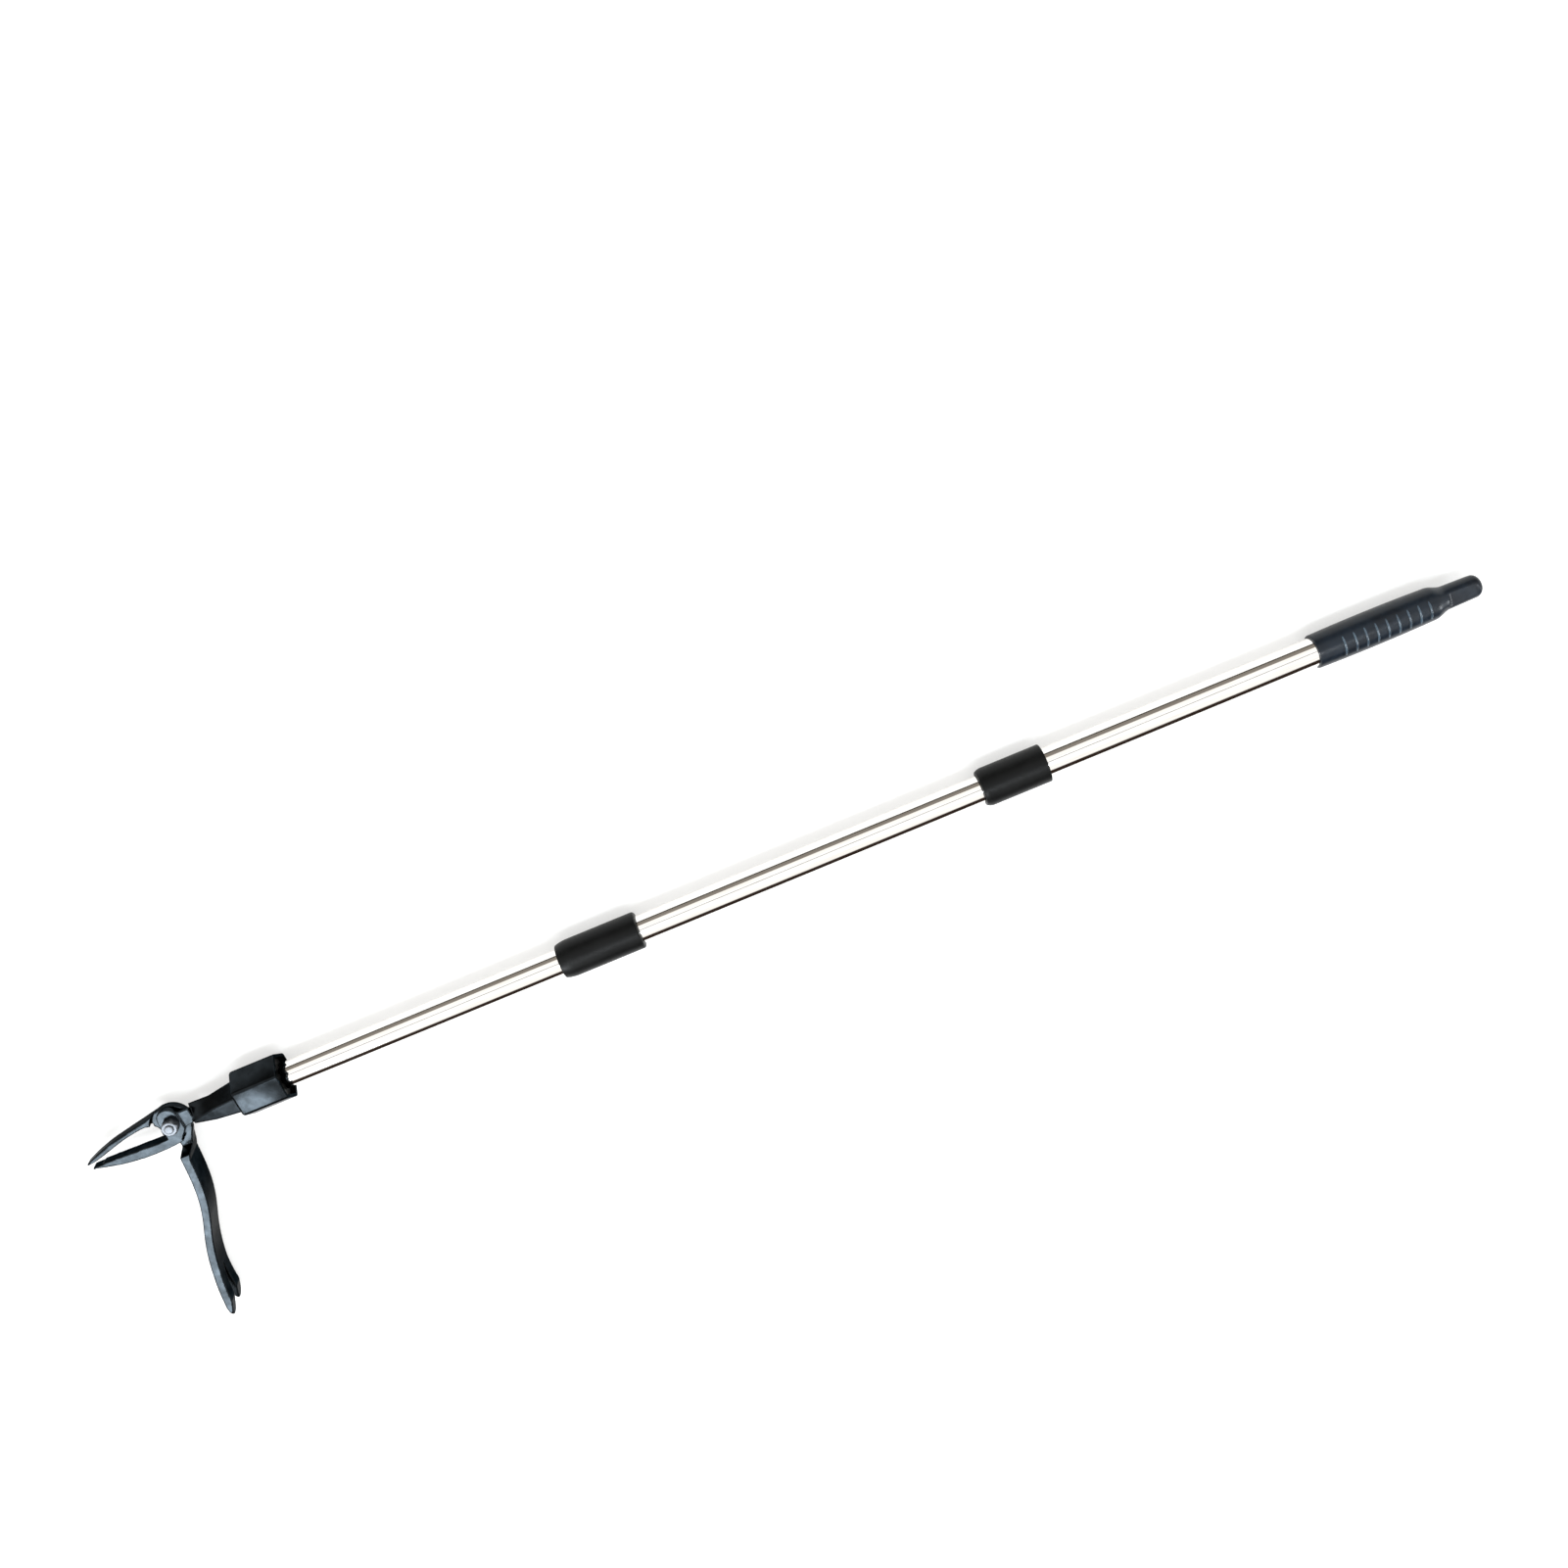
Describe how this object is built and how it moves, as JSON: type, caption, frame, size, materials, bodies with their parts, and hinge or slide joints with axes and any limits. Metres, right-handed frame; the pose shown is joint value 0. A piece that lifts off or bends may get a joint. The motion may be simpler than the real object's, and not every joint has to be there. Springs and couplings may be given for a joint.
{
  "type": "telescopic weed puller",
  "caption": "Stand-up weed puller: plier jaws and a forked foot lever on a hexagonal socket, with a telescopic steel pole and a ribbed grip.",
  "frame": {"origin": "centre of the hexagonal socket's lower flat, which rests on the ground when the tool lies on its side", "axes": "+X along the pole from the socket to the grip, +Z along the jaw pivot and up from the ground, the foot lever towards -Y"},
  "size_m": [1.3093, 0.2191, 0.04],
  "materials": {
    "black_enamel": "satin black enamel over forged steel",
    "stainless": "drawn stainless tube, mirror polished",
    "zinc": "bright zinc plate",
    "collar_plastic": "satin black moulded polypropylene",
    "grip_plastic": "blue-black moulded polypropylene",
    "lock_plastic": "natural nylon",
    "adapter_plastic": "black nylon",
    "wiper_felt": "black rubber"
  },
  "bodies": {
    "head": {"hex_socket": "black_enamel", "jaw_arm": "black_enamel", "pivot_bolt": "zinc", "pivot_nut": "zinc", "pivot_washer": "zinc", "pole_adapter": "adapter_plastic", "adapter_screw": "zinc", "lower_tube_plug": "lock_plastic", "lower_tube": "stainless", "lower_lock_core": "lock_plastic", "lower_lock_washer": "zinc", "lower_lock_screw": "zinc"},
    "lever_half": {"foot_lever": "black_enamel"},
    "lower_lock": {"lower_lock_ring": "lock_plastic"},
    "middle_section": {"middle_tube": "stainless", "lower_collar": "collar_plastic", "lower_collar_bush": "adapter_plastic", "lower_wiper_ring": "wiper_felt", "upper_lock_core": "lock_plastic", "upper_lock_washer": "zinc", "upper_lock_screw": "zinc"},
    "upper_lock": {"upper_lock_ring": "lock_plastic"},
    "upper_section": {"upper_tube": "stainless", "upper_collar": "collar_plastic", "upper_collar_bush": "adapter_plastic", "upper_wiper_ring": "wiper_felt", "grip": "grip_plastic", "grip_plug": "lock_plastic"}
  },
  "joints": [
    {"name": "jaw_pivot", "type": "hinge", "parent": "head", "child": "lever_half", "pos_m": [-0.085, 0, 0.02], "axis": [0, 0, 1], "range_deg": [-24, 2]},
    {"name": "lower_twist", "type": "hinge", "parent": "head", "child": "lower_lock", "pos_m": [0.35, 0, 0.02], "axis": [1, 0, 0], "range_deg": [-50, 50]},
    {"name": "lower_slide", "type": "slide", "parent": "lower_lock", "child": "middle_section", "axis": [1, 0, 0], "range_m": [-0.245, 0]},
    {"name": "upper_twist", "type": "hinge", "parent": "middle_section", "child": "upper_lock", "pos_m": [0.74, 0, 0.02], "axis": [1, 0, 0], "range_deg": [-50, 50]},
    {"name": "upper_slide", "type": "slide", "parent": "upper_lock", "child": "upper_section", "axis": [1, 0, 0], "range_m": [-0.29, 0]}
  ]
}
